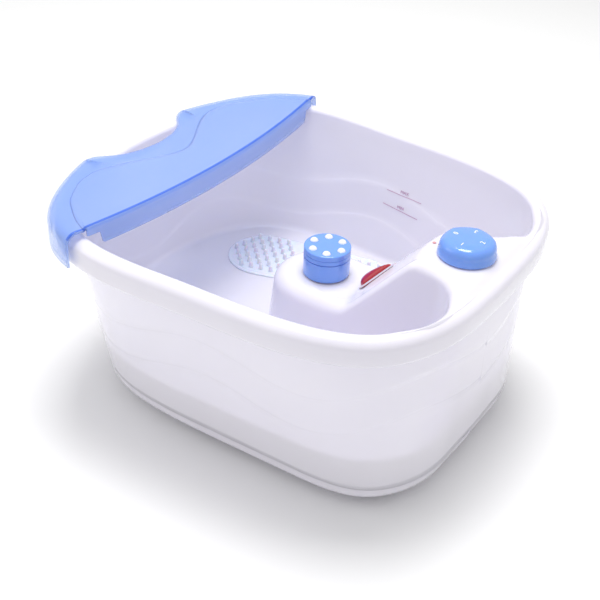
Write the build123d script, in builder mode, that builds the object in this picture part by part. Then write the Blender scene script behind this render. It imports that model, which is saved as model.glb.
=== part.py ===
"""Foot spa basin: a translucent tub on a screwed-on base tray, with a lift-off splash guard,
a mode dial, a plug-in massage drum with rolling balls, an infrared lamp, a floor heater and a
vibration motor.  Millimetres.  +Z is up, +X points to the dial end, and the origin lies on the
floor under the middle of the whole object."""
import os
from math import atan2, cos, degrees, hypot, radians, sin, tan

from build123d import *

os.makedirs("parts", exist_ok=True)

# ---- driving dimensions -----------------------------------------------------------------
WALL = 3.0
RIM_TOP = 190.0
RIM_LIP = 22.0
RIM_ROLL = 12.0
RIM_TOP_ROUND = 9.0
FLOOR_TOP = 60.0
PARTING_Z = 25.0
TRAY_BOTTOM = 10.0

# Half outlines, from the dial end round the far side to the guard end.
RIM_OUTLINE = [(200, 0), (199.4, 36), (196.5, 72), (166, 139), (98, 170), (0, 178),
               (-66, 181), (-136, 163), (-180, 104), (-200, 0)]
BASE_OUTLINE = [(188, 0), (187.5, 34), (185.5, 69), (153, 122.5), (85, 137), (0, 140),
                (-65, 139), (-124, 121), (-157, 74), (-167, 0)]

# Console: a low tongue between the feet, a ramp, and the raised deck that carries the dial.
DECK_TOP = 194.5
TONGUE_TOP = 126.0
TONGUE_X = 22.0
TONGUE_RADIUS = 46.0
CONSOLE_LEAN = 11.0
RAMP_FOOT_X = 66.0
RAMP_ANGLE = 49.0
DIAL_X = 159.0
ROLLER_X = 28.0
BLOCK_END = 212.0
HOLLOW_END = 181.0

SCREW_SPOTS = [(128, 78), (128, -78), (-8, 122), (-8, -122), (-114, 72), (-114, -72)]
SCREW_RADIUS = 1.75
SCREW_HEAD_RADIUS = 3.5
SCREW_HEAD_HIGH = 2.2
SCREW_WELL = 4.0
SCREW_LENGTH = 14.0
SCREW_CLEAR = 0.2
BOSS_RADIUS = 5.0
FOOT_SPOTS = {
    "foot_near_right": (144, -94),
    "foot_far_right": (144, 94),
    "foot_near_left": (-114, -94),
    "foot_far_left": (-114, 94),
}
FOOT_RADIUS = 9.0
FOOT_SOCKET = 3.0
FOOT_CHAMFER = 1.2


# ---- outline helpers --------------------------------------------------------------------
def loop(half):
    """All the points of a closed outline, from the half on the far side."""
    return half + [(x, -y) for x, y in reversed(half[1:-1])]


def inset(half, gap):
    """The half outline moved inwards by gap, square to the line between each point's neighbours."""
    points = loop(half)
    moved = []
    for i in range(len(half)):
        before = points[i - 1]
        after = points[(i + 1) % len(points)]
        along_x = after[0] - before[0]
        along_y = after[1] - before[1]
        length = hypot(along_x, along_y)
        x, y = points[i]
        moved.append((x - gap * along_y / length, y + gap * along_x / length))
    return moved


def between(low, high, share):
    """An outline part of the way from low to high."""
    return [(a[0] + share * (b[0] - a[0]), a[1] + share * (b[1] - a[1])) for a, b in zip(low, high)]


def outline(half):
    """The flat face inside the closed smooth outline."""
    with BuildSketch() as flat:
        with BuildLine():
            Spline(*loop(half), periodic=True)
        make_face()
    return flat.sketch


WALL_TOP_OUTLINE = inset(RIM_OUTLINE, RIM_ROLL)


def wall_outline(z, gap=0.0):
    """The wall's outer outline at height z, moved inwards by gap."""
    share = (z - PARTING_Z) / (RIM_TOP - PARTING_Z)
    return inset(between(BASE_OUTLINE, WALL_TOP_OUTLINE, share), gap)


def save(piece, name):
    """Label the finished piece and write its STEP file."""
    piece.part.label = name
    export_step(piece.part, f"parts/{name}.step")


# ---- console blocks: the outside shape and the hollow under it ----------------------------
RAMP_TAN = tan(radians(RAMP_ANGLE))
CREST_X = RAMP_FOOT_X + (RIM_TOP - TONGUE_TOP) / RAMP_TAN


def console_plan(gap):
    """The console seen from above: a round nose, straight sides, and a flare into the end wall."""
    half_width = TONGUE_RADIUS - gap
    flare = [(BLOCK_END, 104), (183, 77 - gap), (168, 57 - gap), (146, 49 - gap), (100, half_width + 1)]
    with BuildSketch() as flat:
        with BuildLine():
            Line((BLOCK_END, -104), (BLOCK_END, 104))
            Spline(*flare)
            Line((100, half_width + 1), (TONGUE_X, half_width))
            ThreePointArc((TONGUE_X, half_width), (TONGUE_X - half_width, 0), (TONGUE_X, -half_width))
            Line((TONGUE_X, -half_width), (100, -half_width - 1))
            Spline(*[(x, -y) for x, y in reversed(flare)])
        make_face()
    return flat.sketch


def console_side(drop, end_x, low_z):
    """The console seen from the near side: tongue, ramp and deck, lowered by drop."""
    top = TONGUE_TOP - drop
    ramp_shift = drop * tan(radians(RAMP_ANGLE / 2))
    crest = CREST_X + ramp_shift
    with BuildSketch() as flat:
        with BuildLine():
            Polyline(
                (-60, low_z), (-60, top), (RAMP_FOOT_X + ramp_shift, top), (crest, RIM_TOP - drop),
                (end_x, RIM_TOP - drop), (end_x, low_z), close=True,
            )
        make_face()
    return flat.sketch


with BuildPart() as console_outside:
    with BuildSketch(Plane.XY.offset(FLOOR_TOP)):
        add(console_plan(0))
    with BuildSketch(Plane.XY.offset(RIM_TOP)):
        add(console_plan(CONSOLE_LEAN))
    loft(ruled=True)
    with BuildSketch(Plane.XZ):
        add(console_side(0, BLOCK_END, FLOOR_TOP))
    extrude(amount=120, both=True, mode=Mode.INTERSECT)
    top_edges = console_outside.edges().filter_by_position(Axis.Z, TONGUE_TOP - 0.1, TONGUE_TOP + 0.1)
    shoulder = top_edges.filter_by(lambda e: e.center().X < RAMP_FOOT_X - 1)
    fillet(shoulder, radius=8)

with BuildPart() as console_hollow:
    with BuildSketch(Plane.XY.offset(FLOOR_TOP - WALL)):
        add(console_plan(WALL))
    with BuildSketch(Plane.XY.offset(RIM_TOP - WALL)):
        add(console_plan(WALL + CONSOLE_LEAN))
    loft(ruled=True)
    with BuildSketch(Plane.XZ):
        add(console_side(WALL, HOLLOW_END, FLOOR_TOP - WALL))
    extrude(amount=120, both=True, mode=Mode.INTERSECT)


def deck_plan(rise):
    """The raised deck seen from above, at a height above the rim: its front follows the ramp, its
    sides lean like the console's and its end rolls into the rim."""
    front = CREST_X + rise / RAMP_TAN
    side = [(front, 36 - rise), (148, 37 - rise), (167, 45 - rise), (180, 59 - rise), (186, 72 - rise)]
    end = [(186, 72 - rise), (190.2 - rise, 38), (191 - rise, 0), (190.2 - rise, -38), (186, rise - 72)]
    with BuildSketch() as flat:
        with BuildLine():
            Spline(*[(x, -y) for x, y in side])
            Spline(*reversed(end))
            Spline(*reversed(side))
            Line((front, 36 - rise), (front, rise - 36))
        make_face()
    return flat.sketch


# ---- tub --------------------------------------------------------------------------------
SIDE_GAP = 5.0
with BuildPart() as cavity:
    with BuildSketch(Plane.XY.offset(FLOOR_TOP)):
        add(outline(wall_outline(FLOOR_TOP, WALL + SIDE_GAP)))
    with BuildSketch(Plane.XY.offset(FLOOR_TOP + SIDE_GAP)):
        add(outline(wall_outline(FLOOR_TOP + SIDE_GAP, WALL)))
    with BuildSketch(Plane.XY.offset(RIM_TOP)):
        add(outline(wall_outline(RIM_TOP, WALL)))
    loft(ruled=True)
    add(console_outside.part, mode=Mode.SUBTRACT)

GLAND_X = 0.0
GLAND_Z = 40.0
GLAND_FACE_Y = 147.0
GLAND_NECK = 6.0
GLAND_BOSS = 11.0
GLAND_BOSS_RIM = 5.0
SWITCH_BUSH_RADIUS = 4.5
DECK_HOLE = 4.7
LAMP_HOLE = 9.0
POST_SCREW_HOLE = 1.6
RAMP_PLANE = Plane(
    origin=(RAMP_FOOT_X, 0, TONGUE_TOP),
    x_dir=(cos(radians(RAMP_ANGLE)), 0, sin(radians(RAMP_ANGLE))),
    z_dir=(-sin(radians(RAMP_ANGLE)), 0, cos(radians(RAMP_ANGLE))),
)
LENS_ROUND = 12.0
LENS_TIP = 45.0
LENS_CENTRE = 13.0
UNDERSIDE_Z = FLOOR_TOP - WALL
BOSS_LOW_Z = 17.0
PILOT_DEPTH = 22.0
DECK_PAD = DECK_TOP - RIM_TOP
HOLE_RUN = 6.0
GLAND_HOLE_RUN = 20.0
LAMP_HOLE_RUN = 9.0

with BuildPart() as tub:
    # rolled rim, hollow underneath, then the wall that stands inside it
    with BuildSketch(Plane.XY.offset(RIM_TOP - RIM_LIP)):
        add(outline(RIM_OUTLINE))
    extrude(amount=RIM_LIP)
    top_face = tub.faces().sort_by(Axis.Z)[-1]
    fillet(top_face.outer_wire().edges(), radius=RIM_TOP_ROUND)
    with BuildSketch(Plane.XY.offset(RIM_TOP - RIM_LIP)):
        add(outline(inset(RIM_OUTLINE, WALL)))
    extrude(amount=RIM_LIP - RIM_TOP_ROUND + 1, mode=Mode.SUBTRACT)
    with BuildSketch(Plane.XY.offset(PARTING_Z)):
        add(outline(wall_outline(PARTING_Z)))
    with BuildSketch(Plane.XY.offset(RIM_TOP)):
        add(outline(wall_outline(RIM_TOP)))
    loft(ruled=True)
    # bathing space, then the dry space under the floor and inside the console
    add(cavity.part, mode=Mode.SUBTRACT)
    with BuildSketch(Plane.XY.offset(PARTING_Z)):
        add(outline(wall_outline(PARTING_Z, WALL)))
    with BuildSketch(Plane.XY.offset(UNDERSIDE_Z)):
        add(outline(wall_outline(UNDERSIDE_Z, WALL)))
    loft(ruled=True, mode=Mode.SUBTRACT)
    add(console_hollow.part, mode=Mode.SUBTRACT)
    # raised deck under the dial
    with BuildSketch(Plane.XY.offset(RIM_TOP - 1)):
        add(deck_plan(0))
    with BuildSketch(Plane.XY.offset(DECK_TOP)):
        add(deck_plan(DECK_PAD))
    loft(ruled=True)
    # screw bosses
    with BuildSketch(Plane.XY.offset(BOSS_LOW_Z)):
        with Locations(*SCREW_SPOTS):
            Circle(BOSS_RADIUS)
    extrude(amount=UNDERSIDE_Z - BOSS_LOW_Z)
    with BuildSketch(Plane.XY.offset(BOSS_LOW_Z)):
        with Locations(*SCREW_SPOTS):
            Circle(SCREW_RADIUS)
    extrude(amount=PILOT_DEPTH, mode=Mode.SUBTRACT)
    # flat boss and hole for the cord gland in the far wall
    with BuildSketch(Plane.XZ.offset(-GLAND_FACE_Y)):
        with Locations((GLAND_X, GLAND_Z)):
            Circle(GLAND_NECK + GLAND_BOSS_RIM)
    extrude(amount=GLAND_BOSS)
    with BuildSketch(Plane.XZ.offset(-GLAND_FACE_Y)):
        with Locations((GLAND_X, GLAND_Z)):
            Circle(GLAND_NECK)
    extrude(amount=GLAND_HOLE_RUN, mode=Mode.SUBTRACT)
    # holes for the switch bush, the lamp and the massage post's screw
    with Locations((DIAL_X, 0, DECK_TOP)):
        Hole(radius=DECK_HOLE, depth=HOLE_RUN + DECK_PAD)
    with BuildSketch(RAMP_PLANE.offset(1 - LAMP_HOLE_RUN)):
        with Locations((LENS_CENTRE, 0)):
            Circle(LAMP_HOLE)
    extrude(amount=LAMP_HOLE_RUN, mode=Mode.SUBTRACT)
    with Locations((ROLLER_X, 0, TONGUE_TOP)):
        Hole(radius=POST_SCREW_HOLE, depth=HOLE_RUN)
save(tub, "tub")

# ---- base tray --------------------------------------------------------------------------
TRAY_ROUND = 12.0
TRAY_WALL = 2.6
TRAY_DRAFT = 3.0
TRAY_CORNER = 12.0
RING_HIGH = 4.0
RING_CLEAR = 0.2
RING_WALL = 2.0
with BuildPart() as base_tray:
    with BuildSketch(Plane.XY.offset(TRAY_BOTTOM)):
        add(outline(inset(BASE_OUTLINE, TRAY_DRAFT)))
    with BuildSketch(Plane.XY.offset(PARTING_Z)):
        add(outline(BASE_OUTLINE))
    loft(ruled=True)
    bottom_face = base_tray.faces().sort_by(Axis.Z)[0]
    fillet(bottom_face.outer_wire().edges(), radius=TRAY_ROUND)
    with BuildSketch(Plane.XY.offset(TRAY_BOTTOM + TRAY_WALL)):
        add(outline(inset(BASE_OUTLINE, TRAY_CORNER)))
    with BuildSketch(Plane.XY.offset(PARTING_Z)):
        add(outline(inset(BASE_OUTLINE, TRAY_WALL)))
    loft(ruled=True, mode=Mode.SUBTRACT)
    # ring that stands up inside the tub's skirt
    with BuildSketch(Plane.XY.offset(PARTING_Z - RING_HIGH)):
        add(outline(inset(BASE_OUTLINE, WALL + RING_CLEAR)))
        add(outline(inset(BASE_OUTLINE, WALL + RING_CLEAR + RING_WALL)), mode=Mode.SUBTRACT)
    extrude(amount=2 * RING_HIGH)
    # pillars under the tub's bosses, with screw holes and wells for the heads
    with BuildSketch(Plane.XY.offset(TRAY_BOTTOM)):
        with Locations(*SCREW_SPOTS):
            Circle(BOSS_RADIUS + 1)
    extrude(amount=BOSS_LOW_Z - TRAY_BOTTOM)
    with BuildSketch(Plane.XY.offset(TRAY_BOTTOM)):
        with Locations(*SCREW_SPOTS):
            Circle(SCREW_HEAD_RADIUS + 2 * SCREW_CLEAR)
    extrude(amount=SCREW_WELL, mode=Mode.SUBTRACT)
    with BuildSketch(Plane.XY.offset(TRAY_BOTTOM)):
        with Locations(*SCREW_SPOTS):
            Circle(SCREW_RADIUS + SCREW_CLEAR)
    extrude(amount=BOSS_LOW_Z - TRAY_BOTTOM, mode=Mode.SUBTRACT)
    # sockets for the feet
    with BuildSketch(Plane.XY.offset(TRAY_BOTTOM)):
        with Locations(*FOOT_SPOTS.values()):
            Circle(FOOT_RADIUS + 2)
    extrude(amount=2 * FOOT_SOCKET)
    with BuildSketch(Plane.XY.offset(TRAY_BOTTOM)):
        with Locations(*FOOT_SPOTS.values()):
            Circle(FOOT_RADIUS)
    extrude(amount=FOOT_SOCKET, mode=Mode.SUBTRACT)
save(base_tray, "base_tray")

for foot_name, (foot_x, foot_y) in FOOT_SPOTS.items():
    with BuildPart() as foot:
        with Locations((foot_x, foot_y, 0)):
            Cylinder(FOOT_RADIUS, TRAY_BOTTOM + FOOT_SOCKET, align=(Align.CENTER, Align.CENTER, Align.MIN))
        chamfer(foot.edges().sort_by(Axis.Z)[0], length=FOOT_CHAMFER)
    save(foot, foot_name)

with BuildPart() as base_screws:
    with BuildSketch(Plane.XY.offset(TRAY_BOTTOM + SCREW_WELL - SCREW_HEAD_HIGH)):
        with Locations(*SCREW_SPOTS):
            Circle(SCREW_HEAD_RADIUS)
    extrude(amount=SCREW_HEAD_HIGH)
    with BuildSketch(Plane.XY.offset(TRAY_BOTTOM + SCREW_WELL)):
        with Locations(*SCREW_SPOTS):
            Circle(SCREW_RADIUS)
    extrude(amount=SCREW_LENGTH)
save(base_screws, "base_screws")

# ---- massage footbeds -------------------------------------------------------------------
BED_THICK = 1.5
NUB_RADIUS = 1.9
NUB_HEIGHT = 6.0
NUB_PITCH = 10.5
HEEL = (-91, 75)
HEEL_RADIUS = 38.0
TOE = (8, 102)
TOE_RADIUS = 33.0
BED_ANGLE = degrees(atan2(TOE[1] - HEEL[1], TOE[0] - HEEL[0]))
BED_LENGTH = hypot(TOE[1] - HEEL[1], TOE[0] - HEEL[0])
NUB_MARGIN = 6.0
NUB_DRAFT = 4.0
ROW_PITCH = 0.87 * NUB_PITCH
ARCH_HALF = 24.0


def nub_spots():
    """Staggered nubs in bed coordinates: full under heel and ball, sparse under the arch."""
    spots = []
    for row in range(-4, 5):
        for column in range(-4, 14):
            along = NUB_PITCH * (column + 0.5 * (row % 2))
            across = ROW_PITCH * row
            near_heel = hypot(along, across) < HEEL_RADIUS - NUB_MARGIN
            near_toe = hypot(along - BED_LENGTH, across) < TOE_RADIUS - NUB_MARGIN
            on_arch = HEEL_RADIUS < along < BED_LENGTH - TOE_RADIUS and abs(across) < ARCH_HALF and column % 2
            if near_heel or near_toe or on_arch:
                spots.append((along, across))
    return spots


for bed_name, side in (("far_footbed", 1), ("near_footbed", -1)):
    turn = radians(side * BED_ANGLE)
    placed = [
        (HEEL[0] + a * cos(turn) - side * b * sin(turn), side * HEEL[1] + a * sin(turn) + side * b * cos(turn))
        for a, b in nub_spots()
    ]
    with BuildPart() as bed:
        with BuildSketch(Plane.XY.offset(FLOOR_TOP)):
            with Locations((HEEL[0], side * HEEL[1])):
                Circle(HEEL_RADIUS)
            with Locations((TOE[0], side * TOE[1])):
                Circle(TOE_RADIUS)
            make_hull()
        extrude(amount=BED_THICK)
        with BuildSketch(Plane.XY.offset(FLOOR_TOP + BED_THICK)):
            with Locations(*placed):
                Circle(NUB_RADIUS)
        extrude(amount=NUB_HEIGHT, taper=NUB_DRAFT)
    save(bed, bed_name)

# ---- infrared lens, gasket and lamp -----------------------------------------------------
LENS_HEIGHT = 6.0
LENS_EDGE_GAP = 1.4
LENS_TOP_GAP = 6.5
GASKET_OUT = 0.8
GASKET_IN = 1.3
GASKET_THICK = 1.4
LAMP_RADIUS = 5.0
LAMP_LENGTH = 17.0
LAMP_SEAT = 20.0
HOLDER_LOW = 30.0
HOLDER_HIGH = 14.0


def teardrop(gap):
    """Teardrop on the ramp, round end down and tip up, moved inwards by gap."""
    radius = LENS_ROUND - gap
    tip = LENS_TIP - 2 * gap
    lean = atan2(radius, tip - LENS_CENTRE)
    touch_x = LENS_CENTRE + radius * sin(lean)
    touch_y = radius * cos(lean)
    with BuildSketch() as flat:
        with BuildLine():
            ThreePointArc((touch_x, touch_y), (LENS_CENTRE - radius, 0), (touch_x, -touch_y))
            Polyline((touch_x, -touch_y), (tip, 0), (touch_x, touch_y))
        make_face()
    return flat.sketch


with BuildPart() as infrared_lens:
    with BuildSketch(RAMP_PLANE):
        add(teardrop(LENS_EDGE_GAP))
    with BuildSketch(RAMP_PLANE.offset(LENS_HEIGHT)):
        add(teardrop(LENS_TOP_GAP))
    loft(ruled=True)
save(infrared_lens, "infrared_lens")

with BuildPart() as lens_gasket:
    with BuildSketch(RAMP_PLANE):
        add(teardrop(-GASKET_OUT))
        add(teardrop(GASKET_IN), mode=Mode.SUBTRACT)
    extrude(amount=GASKET_THICK)
save(lens_gasket, "lens_gasket")

with BuildPart() as lamp_holder:
    with BuildSketch(RAMP_PLANE.offset(-HOLDER_LOW)):
        with Locations((LENS_CENTRE, 0)):
            Circle(LAMP_HOLE - 1)
    extrude(amount=HOLDER_HIGH)
    with BuildSketch(RAMP_PLANE.offset(-LAMP_SEAT)):
        with Locations((LENS_CENTRE, 0)):
            Circle(LAMP_RADIUS)
    extrude(amount=HOLDER_HIGH - HOLDER_LOW + LAMP_SEAT, mode=Mode.SUBTRACT)
save(lamp_holder, "lamp_holder")

with BuildPart() as infrared_lamp:
    with BuildSketch(RAMP_PLANE.offset(-LAMP_SEAT)):
        with Locations((LENS_CENTRE, 0)):
            Circle(LAMP_RADIUS)
    extrude(amount=LAMP_LENGTH)
    lamp_tip = infrared_lamp.faces().sort_by(Axis((0, 0, 0), RAMP_PLANE.z_dir))[-1]
    fillet(lamp_tip.edges(), radius=3)
save(infrared_lamp, "infrared_lamp")

# ---- splash guard -----------------------------------------------------------------------
GUARD_WALL = 2.2
GUARD_OUT = 4.0
GUARD_SKIRT_LOW = 168.0
GUARD_EDGE_X = -87.0
GUARD_EDGE_BOW = 0.00059
GUARD_LOW_TOP = 190.6
GUARD_HIGH_TOP = 194.8
GUARD_INNER_LOW = 180.0
GUARD_GAP = 4.5
GUARD_REACH = 230.0
NOTCH_HALF = 60.0
NOTCH_FLOOR_X = -157.0
NOTCH_SHOULDER = 18.0
NOTCH_MOUTH_X = -190.0
NOTCH_BEND_X = -170.0
ROOF_BEND_X = -175.0
GUARD_SPARE = 10.0
TALL = 50.0


def guard_end(shift):
    """Everything on the guard's side of its bowed inner edge, the edge moved outwards by shift."""
    edge = [
        (GUARD_EDGE_X - shift - GUARD_EDGE_BOW * y * y, y)
        for y in (-GUARD_REACH, -GUARD_REACH / 2, 0, GUARD_REACH / 2, GUARD_REACH)
    ]
    with BuildSketch() as flat:
        with BuildLine():
            Spline(*edge)
            Polyline(edge[-1], (-GUARD_REACH, GUARD_REACH), (-GUARD_REACH, -GUARD_REACH), edge[0])
        make_face()
    return flat.sketch


def guard_region(gap, shift):
    """The end of the rim's outline, moved in by gap and cut off at the inner edge."""
    with BuildSketch() as flat:
        add(outline(inset(RIM_OUTLINE, gap)))
        add(guard_end(shift), mode=Mode.INTERSECT)
    return flat.sketch


def guard_side(low_z, high_z):
    """What lies under a roof that rises from the outer end to the inner edge."""
    with BuildSketch() as flat:
        with BuildLine():
            Polyline(
                (-GUARD_REACH, GUARD_SKIRT_LOW - 5), (-GUARD_REACH, low_z), (ROOF_BEND_X, low_z),
                (GUARD_EDGE_X, high_z), (GUARD_EDGE_X + 20, high_z),
                (GUARD_EDGE_X + 20, GUARD_SKIRT_LOW - 5), close=True,
            )
        make_face()
    return flat.sketch


def notch_shape():
    """Hand notch in the outer end, with corners that flare to the outside."""
    with BuildSketch() as flat:
        with BuildLine():
            Spline((NOTCH_MOUTH_X, NOTCH_HALF), (NOTCH_BEND_X, NOTCH_HALF - NOTCH_SHOULDER),
                   (NOTCH_FLOOR_X, 0), (NOTCH_BEND_X, NOTCH_SHOULDER - NOTCH_HALF),
                   (NOTCH_MOUTH_X, -NOTCH_HALF))
            Polyline((NOTCH_MOUTH_X, -NOTCH_HALF), (-GUARD_REACH, -NOTCH_HALF),
                     (-GUARD_REACH, NOTCH_HALF), (NOTCH_MOUTH_X, NOTCH_HALF))
        make_face()
    return flat.sketch


with BuildPart() as guard_hollow:
    with BuildSketch(Plane.XY.offset(GUARD_SKIRT_LOW - 5)):
        add(guard_region(GUARD_WALL - GUARD_OUT, GUARD_WALL))
    extrude(amount=TALL)
    with BuildSketch(Plane.XZ):
        add(guard_side(GUARD_LOW_TOP, GUARD_HIGH_TOP))
    extrude(amount=GUARD_REACH, both=True, mode=Mode.INTERSECT)

with BuildPart() as splash_guard:
    with BuildSketch(Plane.XY.offset(GUARD_SKIRT_LOW)):
        add(guard_region(-GUARD_OUT, 0))
    extrude(amount=TALL)
    with BuildSketch(Plane.XZ):
        add(guard_side(GUARD_LOW_TOP + GUARD_WALL, GUARD_HIGH_TOP + GUARD_WALL))
    extrude(amount=GUARD_REACH, both=True, mode=Mode.INTERSECT)
    add(guard_hollow.part, mode=Mode.SUBTRACT)
    # the inner skirt is short and stays inside the bathing space, so both ends of it are cut
    with BuildSketch(Plane.XY.offset(GUARD_SKIRT_LOW)):
        add(guard_region(-GUARD_OUT, -GUARD_SPARE))
        add(guard_region(-GUARD_OUT, GUARD_WALL), mode=Mode.SUBTRACT)
    extrude(amount=GUARD_INNER_LOW - GUARD_SKIRT_LOW, mode=Mode.SUBTRACT)
    with BuildSketch(Plane.XY.offset(GUARD_SKIRT_LOW)):
        add(guard_region(GUARD_WALL - GUARD_OUT, -GUARD_SPARE))
        add(outline(wall_outline(RIM_TOP, WALL + GUARD_GAP)), mode=Mode.SUBTRACT)
    extrude(amount=GUARD_LOW_TOP - GUARD_SKIRT_LOW, mode=Mode.SUBTRACT)
    with BuildSketch(Plane.XY.offset(GUARD_SKIRT_LOW - 1)):
        add(notch_shape())
    extrude(amount=TALL, mode=Mode.SUBTRACT)
save(splash_guard, "splash_guard")

# ---- dial and rotary switch ---------------------------------------------------------------
DIAL_RADIUS = 24.4
DIAL_TOP_RADIUS = 19.0
DIAL_LOW = DECK_TOP + 0.8
DIAL_HEIGHT = 15.5
DIAL_ROUND = 5.0
DIAL_WALL = 2.4
SHAFT_RADIUS = 3.0
SHAFT_CLEAR = 0.05
HUB_RADIUS = 5.5
BODY_SIDE = 30.0
BODY_HIGH = 18.0
BODY_TOP = RIM_TOP - WALL
NUT_SIDE_RADIUS = 7.5
NUT_THICK = 2.5
BUSH_TOP = DECK_TOP + NUT_THICK + 1.0
SHAFT_DEPTH = 10.0
TAB_HIGH = 6.0
TAB_SPOTS = (-9, -3, 3, 9)
DIAL_ROOF = DIAL_LOW + DIAL_HEIGHT - DIAL_WALL

with BuildPart() as dial_knob:
    with BuildSketch(Plane.XY.offset(DIAL_LOW)):
        with Locations((DIAL_X, 0)):
            Circle(DIAL_RADIUS)
    with BuildSketch(Plane.XY.offset(DIAL_LOW + DIAL_HEIGHT)):
        with Locations((DIAL_X, 0)):
            Circle(DIAL_TOP_RADIUS)
    loft(ruled=True)
    fillet(dial_knob.edges().sort_by(Axis.Z)[-1], radius=DIAL_ROUND)
    with BuildSketch(Plane.XY.offset(DIAL_LOW)):
        with Locations((DIAL_X, 0)):
            Circle(DIAL_TOP_RADIUS - DIAL_WALL)
    extrude(amount=DIAL_HEIGHT - DIAL_WALL, mode=Mode.SUBTRACT)
    with BuildSketch(Plane.XY.offset(BUSH_TOP + 0.5)):
        with Locations((DIAL_X, 0)):
            Circle(HUB_RADIUS)
            Circle(SHAFT_RADIUS, mode=Mode.SUBTRACT)
    extrude(amount=DIAL_ROOF - BUSH_TOP - 0.5)
save(dial_knob, "dial_knob")

with BuildPart() as switch_shaft:
    with BuildSketch(Plane.XY.offset(BODY_TOP - SHAFT_DEPTH)):
        with Locations((DIAL_X, 0)):
            Circle(SHAFT_RADIUS)
    extrude(amount=DIAL_ROOF - BODY_TOP + SHAFT_DEPTH)
save(switch_shaft, "switch_shaft")

with BuildPart() as rotary_switch:
    with Locations((DIAL_X, 0, BODY_TOP)):
        Box(BODY_SIDE, BODY_SIDE - 6, BODY_HIGH, align=(Align.CENTER, Align.CENTER, Align.MAX))
    with Locations((DIAL_X, 0, BODY_TOP)):
        Cylinder(SWITCH_BUSH_RADIUS, BUSH_TOP - BODY_TOP, align=(Align.CENTER, Align.CENTER, Align.MIN))
    with BuildSketch(Plane.XY.offset(BODY_TOP - SHAFT_DEPTH - 0.5)):
        with Locations((DIAL_X, 0)):
            Circle(SHAFT_RADIUS + SHAFT_CLEAR)
    extrude(amount=BUSH_TOP - BODY_TOP + SHAFT_DEPTH + 0.5, mode=Mode.SUBTRACT)
    with Locations(*[(DIAL_X + x, 0, BODY_TOP - BODY_HIGH) for x in TAB_SPOTS]):
        Box(0.8, 5, TAB_HIGH, align=(Align.CENTER, Align.CENTER, Align.MAX))
save(rotary_switch, "rotary_switch")

with BuildPart() as switch_nut:
    with BuildSketch(Plane.XY.offset(DECK_TOP)):
        with Locations((DIAL_X, 0)):
            RegularPolygon(NUT_SIDE_RADIUS, 6)
            Circle(SWITCH_BUSH_RADIUS, mode=Mode.SUBTRACT)
    extrude(amount=NUT_THICK)
save(switch_nut, "switch_nut")

# ---- massage drum -----------------------------------------------------------------------
DRUM_RADIUS = 21.0
DRUM_LOW = TONGUE_TOP + 1.2
DRUM_TOP = 153.6
GROOVE_Z = 144.6
POST_RADIUS = 6.0
HUB_OUT = 9.0
CUP_FLOOR = 2.4
RING_OF_BALLS = 14.5
BALL_RADIUS = 4.0
BALL_CLEAR = 0.2
BALL_Z = 151.9
BALL_COUNT = 6
CAP_ROOF_LOW = 149.6
PLATE_LOW = 146.6
DRUM_SKIN = 2.4
BALL_ANGLES = [60 * i - 1 for i in range(BALL_COUNT)]
POST_HIGH = 14.0
HUB_GAP = 0.3
HUB_HIGH = 18.2
HUB_CEILING = 2.5
HUB_CLEAR = 0.06
CLIP_OUT = 2.5
CLIP_THICK = 1.2
CLIP_RECESS = 1.0
GROOVE_DEPTH = 1.0
GROOVE_HIGH = 0.8
TRIM_Z = 148.4
TRIM_DEPTH = 0.4
TRIM_HIGH = 0.5
CAP_EDGE = 1.2

with BuildPart() as roller_post:
    with Locations((ROLLER_X, 0, TONGUE_TOP)):
        Cylinder(POST_RADIUS, POST_HIGH, align=(Align.CENTER, Align.CENTER, Align.MIN))
    chamfer(roller_post.edges().sort_by(Axis.Z)[-1], length=1)
save(roller_post, "roller_post")

with BuildPart() as roller_hub:
    with BuildSketch(Plane.XY.offset(TONGUE_TOP + HUB_GAP)):
        with Locations((ROLLER_X, 0)):
            Circle(HUB_OUT)
    extrude(amount=HUB_HIGH)
    with BuildSketch(Plane.XY.offset(TONGUE_TOP + HUB_GAP)):
        with Locations((ROLLER_X, 0)):
            Circle(POST_RADIUS + HUB_CLEAR)
    extrude(amount=HUB_HIGH - HUB_CEILING, mode=Mode.SUBTRACT)
save(roller_hub, "roller_hub")

with BuildPart() as hub_clip:
    with BuildSketch(Plane.XY.offset(TONGUE_TOP + HUB_GAP + HUB_HIGH)):
        with Locations((ROLLER_X, 0)):
            Circle(HUB_OUT + CLIP_OUT)
    extrude(amount=CLIP_THICK)
save(hub_clip, "hub_clip")

with BuildPart() as drum_cup:
    with BuildSketch(Plane.XY.offset(DRUM_LOW)):
        with Locations((ROLLER_X, 0)):
            Circle(DRUM_RADIUS)
    extrude(amount=GROOVE_Z - DRUM_LOW)
    with BuildSketch(Plane.XY.offset(DRUM_LOW)):
        with Locations((ROLLER_X, 0)):
            Circle(DRUM_RADIUS - DRUM_SKIN)
            Circle(HUB_OUT + DRUM_SKIN, mode=Mode.SUBTRACT)
    extrude(amount=GROOVE_Z - DRUM_LOW - CUP_FLOOR - CLIP_THICK, mode=Mode.SUBTRACT)
    with BuildSketch(Plane.XY.offset(DRUM_LOW)):
        with Locations((ROLLER_X, 0)):
            Circle(HUB_OUT + SHAFT_CLEAR)
    extrude(amount=GROOVE_Z - DRUM_LOW, mode=Mode.SUBTRACT)
    with BuildSketch(Plane.XY.offset(GROOVE_Z - CLIP_RECESS)):
        with Locations((ROLLER_X, 0)):
            Circle(HUB_OUT + CLIP_OUT + 0.5)
    extrude(amount=CLIP_RECESS, mode=Mode.SUBTRACT)
    with BuildSketch(Plane.XY.offset(GROOVE_Z - GROOVE_HIGH)):
        with Locations((ROLLER_X, 0)):
            Circle(DRUM_RADIUS)
            Circle(DRUM_RADIUS - GROOVE_DEPTH, mode=Mode.SUBTRACT)
    extrude(amount=GROOVE_HIGH, mode=Mode.SUBTRACT)
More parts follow.
